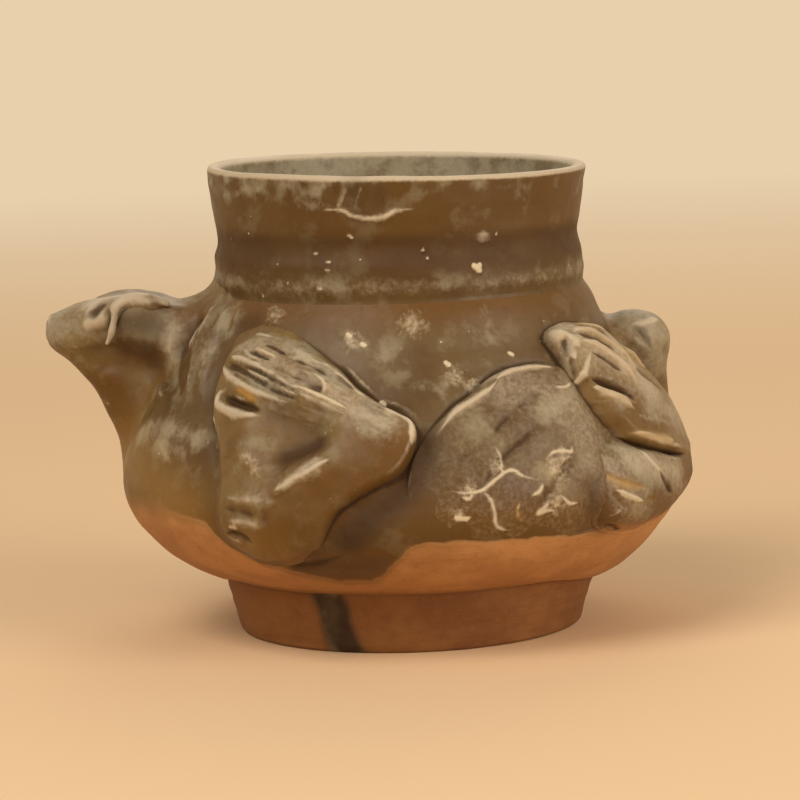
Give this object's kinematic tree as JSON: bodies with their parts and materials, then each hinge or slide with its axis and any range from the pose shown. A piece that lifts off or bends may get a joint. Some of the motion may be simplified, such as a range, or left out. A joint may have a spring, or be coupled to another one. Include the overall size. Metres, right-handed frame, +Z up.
{
  "type": "brush pot",
  "caption": "Squat round jar for brushes or water in the form of a crouching animal, with a wedge head, bent legs and a bud tail on the belly and a wide straight neck above.",
  "frame": {"origin": "centre of the foot's flat underside", "axes": "+Z up along the pot's axis; the head points along -X and the tail along +X; the animal's left side faces -Y"},
  "size_m": [0.1102, 0.0972, 0.0802],
  "materials": {
    "bare_clay": "matt fired clay, reddish orange, bare of glaze, with fine turning lines and one dark run of glaze",
    "belly_glaze": "thin semi-gloss ash glaze, olive brown with grey patches, ending short of the foot",
    "neck_glaze": "thin semi-gloss ash glaze, golden olive, with a dark band above the cordon and a worn pale rim",
    "limb_glaze": "thin semi-gloss ash glaze, dark in the hollows and worn pale along the ridges"
  },
  "bodies": {
    "root": {"foot": "bare_clay", "belly": "belly_glaze", "neck": "neck_glaze", "head": "limb_glaze", "ear_left": "limb_glaze", "ear_right": "limb_glaze", "foreleg_left": "limb_glaze", "foreleg_right": "limb_glaze", "haunch_left": "belly_glaze", "haunch_right": "belly_glaze", "hind_leg_left": "limb_glaze", "hind_leg_right": "limb_glaze", "tail": "limb_glaze"}
  },
  "joints": []
}
